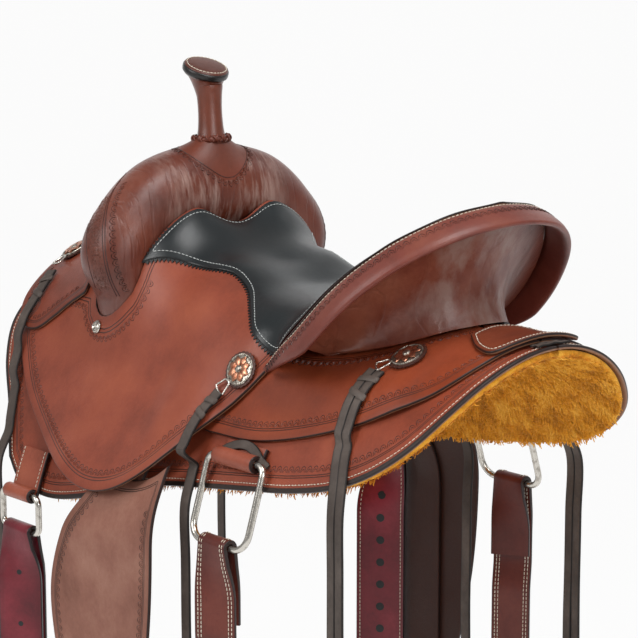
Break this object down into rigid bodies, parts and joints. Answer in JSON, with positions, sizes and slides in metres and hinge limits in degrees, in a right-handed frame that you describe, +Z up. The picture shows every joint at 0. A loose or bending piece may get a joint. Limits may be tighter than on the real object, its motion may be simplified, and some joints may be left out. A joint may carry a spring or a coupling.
{
  "type": "mule trail saddle",
  "caption": "Leather trail saddle for a mule, with a swell and horn, deep seat, laced cantle roll, rounded skirts, rings and hanging fenders with stirrups.",
  "frame": {"origin": "on the line of the mule's spine, on the inner face of the fleece, under the seat", "axes": "+X the rider's left, -Y forward to the horn, +Z up"},
  "size_m": [0.526, 0.7622, 0.9809],
  "materials": {
    "wood": "plain",
    "steel": "plain",
    "nickel": "polished, antiqued in the hollows",
    "black_leather": "smooth",
    "dark_latigo": "matt",
    "burgundy_leather": "waxed",
    "fleece": "deep pile",
    "seat_leather": "oiled, border tooling",
    "brown_leather": "oiled, border tooling"
  },
  "bodies": {
    "saddle": {"back_plate": "brown_leather", "cantle_back": "brown_leather", "cheyenne_roll": "brown_leather", "concho_front_left": "nickel", "concho_front_right": "nickel", "concho_middle_left": "nickel", "concho_middle_right": "nickel", "concho_rear_left": "nickel", "concho_rear_right": "nickel", "fleece_left": "fleece", "fleece_right": "fleece", "front_jockey_left": "brown_leather", "front_jockey_right": "brown_leather", "front_rigging_strap_left": "brown_leather", "front_rigging_strap_right": "brown_leather", "ground_seat": "brown_leather", "horn_cap": "brown_leather", "horn_core": "steel", "horn_neck_cover": "brown_leather", "off_billet_right": "burgundy_leather", "rear_jockey_left": "brown_leather", "rear_jockey_right": "brown_leather", "rear_rigging_strap_left": "brown_leather", "rear_rigging_strap_right": "brown_leather", "seat_inlay": "black_leather", "seat_leather": "seat_leather", "skirt_lace": "dark_latigo", "skirt_left": "brown_leather", "skirt_right": "brown_leather", "strainer_plate": "steel", "string_front_left": "dark_latigo", "string_front_right": "dark_latigo", "string_middle_left": "dark_latigo", "string_middle_right": "dark_latigo", "string_rear_left": "dark_latigo", "string_rear_right": "dark_latigo", "swell_cover": "brown_leather", "swell_ferrule_left": "nickel", "swell_ferrule_right": "nickel", "tree_bar_left": "wood", "tree_bar_right": "wood", "tree_cantle": "wood", "tree_fork": "wood"},
    "swing_left": {"stirrup_leather_left": "brown_leather", "fender_left": "brown_leather", "hobble_strap_left": "brown_leather", "stirrup_bolt_left": "steel"},
    "stirrup_hang_left": {"stirrup_left": "wood"},
    "ring_left": {"rear_ring_left": "nickel"},
    "billet_left": {"rear_billet_left": "brown_leather"},
    "dee_left": {"front_dee_left": "nickel", "latigo_left": "burgundy_leather"},
    "swing_right": {"stirrup_leather_right": "brown_leather", "fender_right": "brown_leather", "hobble_strap_right": "brown_leather", "stirrup_bolt_right": "steel"},
    "stirrup_hang_right": {"stirrup_right": "wood"},
    "ring_right": {"rear_ring_right": "nickel"},
    "billet_right": {"rear_billet_right": "brown_leather"},
    "dee_right": {"front_dee_right": "nickel"}
  },
  "joints": [
    {"name": "fender_swing_left", "type": "hinge", "parent": "saddle", "child": "swing_left", "pos_m": [0.12, -0.008, -0.012], "axis": [1, 0, 0], "range_deg": [-8, 10]},
    {"name": "stirrup_turn_left", "type": "hinge", "parent": "swing_left", "child": "stirrup_hang_left", "pos_m": [0.235, -0.008, -0.572], "axis": [0, -1, 0], "range_deg": [-60, 60]},
    {"name": "rear_ring_lift_left", "type": "hinge", "parent": "saddle", "child": "ring_left", "pos_m": [0.18365, 0.16, -0.09844], "axis": [0, -1, 0], "range_deg": [0, 60]},
    {"name": "rear_billet_swing_left", "type": "hinge", "parent": "ring_left", "child": "billet_left", "pos_m": [0.20937, 0.16, -0.1826], "axis": [0, -1, 0], "range_deg": [-40, 40]},
    {"name": "front_dee_swing_left", "type": "hinge", "parent": "saddle", "child": "dee_left", "pos_m": [0.22498, -0.18, -0.19215], "axis": [0, -1, 0], "range_deg": [-5, 60]},
    {"name": "fender_swing_right", "type": "hinge", "parent": "saddle", "child": "swing_right", "pos_m": [-0.12, -0.008, -0.012], "axis": [1, 0, 0], "range_deg": [-8, 10]},
    {"name": "stirrup_turn_right", "type": "hinge", "parent": "swing_right", "child": "stirrup_hang_right", "pos_m": [-0.235, -0.008, -0.572], "axis": [0, 1, 0], "range_deg": [-60, 60]},
    {"name": "rear_ring_lift_right", "type": "hinge", "parent": "saddle", "child": "ring_right", "pos_m": [-0.18365, 0.16, -0.09844], "axis": [0, 1, 0], "range_deg": [0, 60]},
    {"name": "rear_billet_swing_right", "type": "hinge", "parent": "ring_right", "child": "billet_right", "pos_m": [-0.20937, 0.16, -0.1826], "axis": [0, 1, 0], "range_deg": [-40, 40]},
    {"name": "front_dee_swing_right", "type": "hinge", "parent": "saddle", "child": "dee_right", "pos_m": [-0.22498, -0.18, -0.19215], "axis": [0, 1, 0], "range_deg": [-5, 60]}
  ]
}
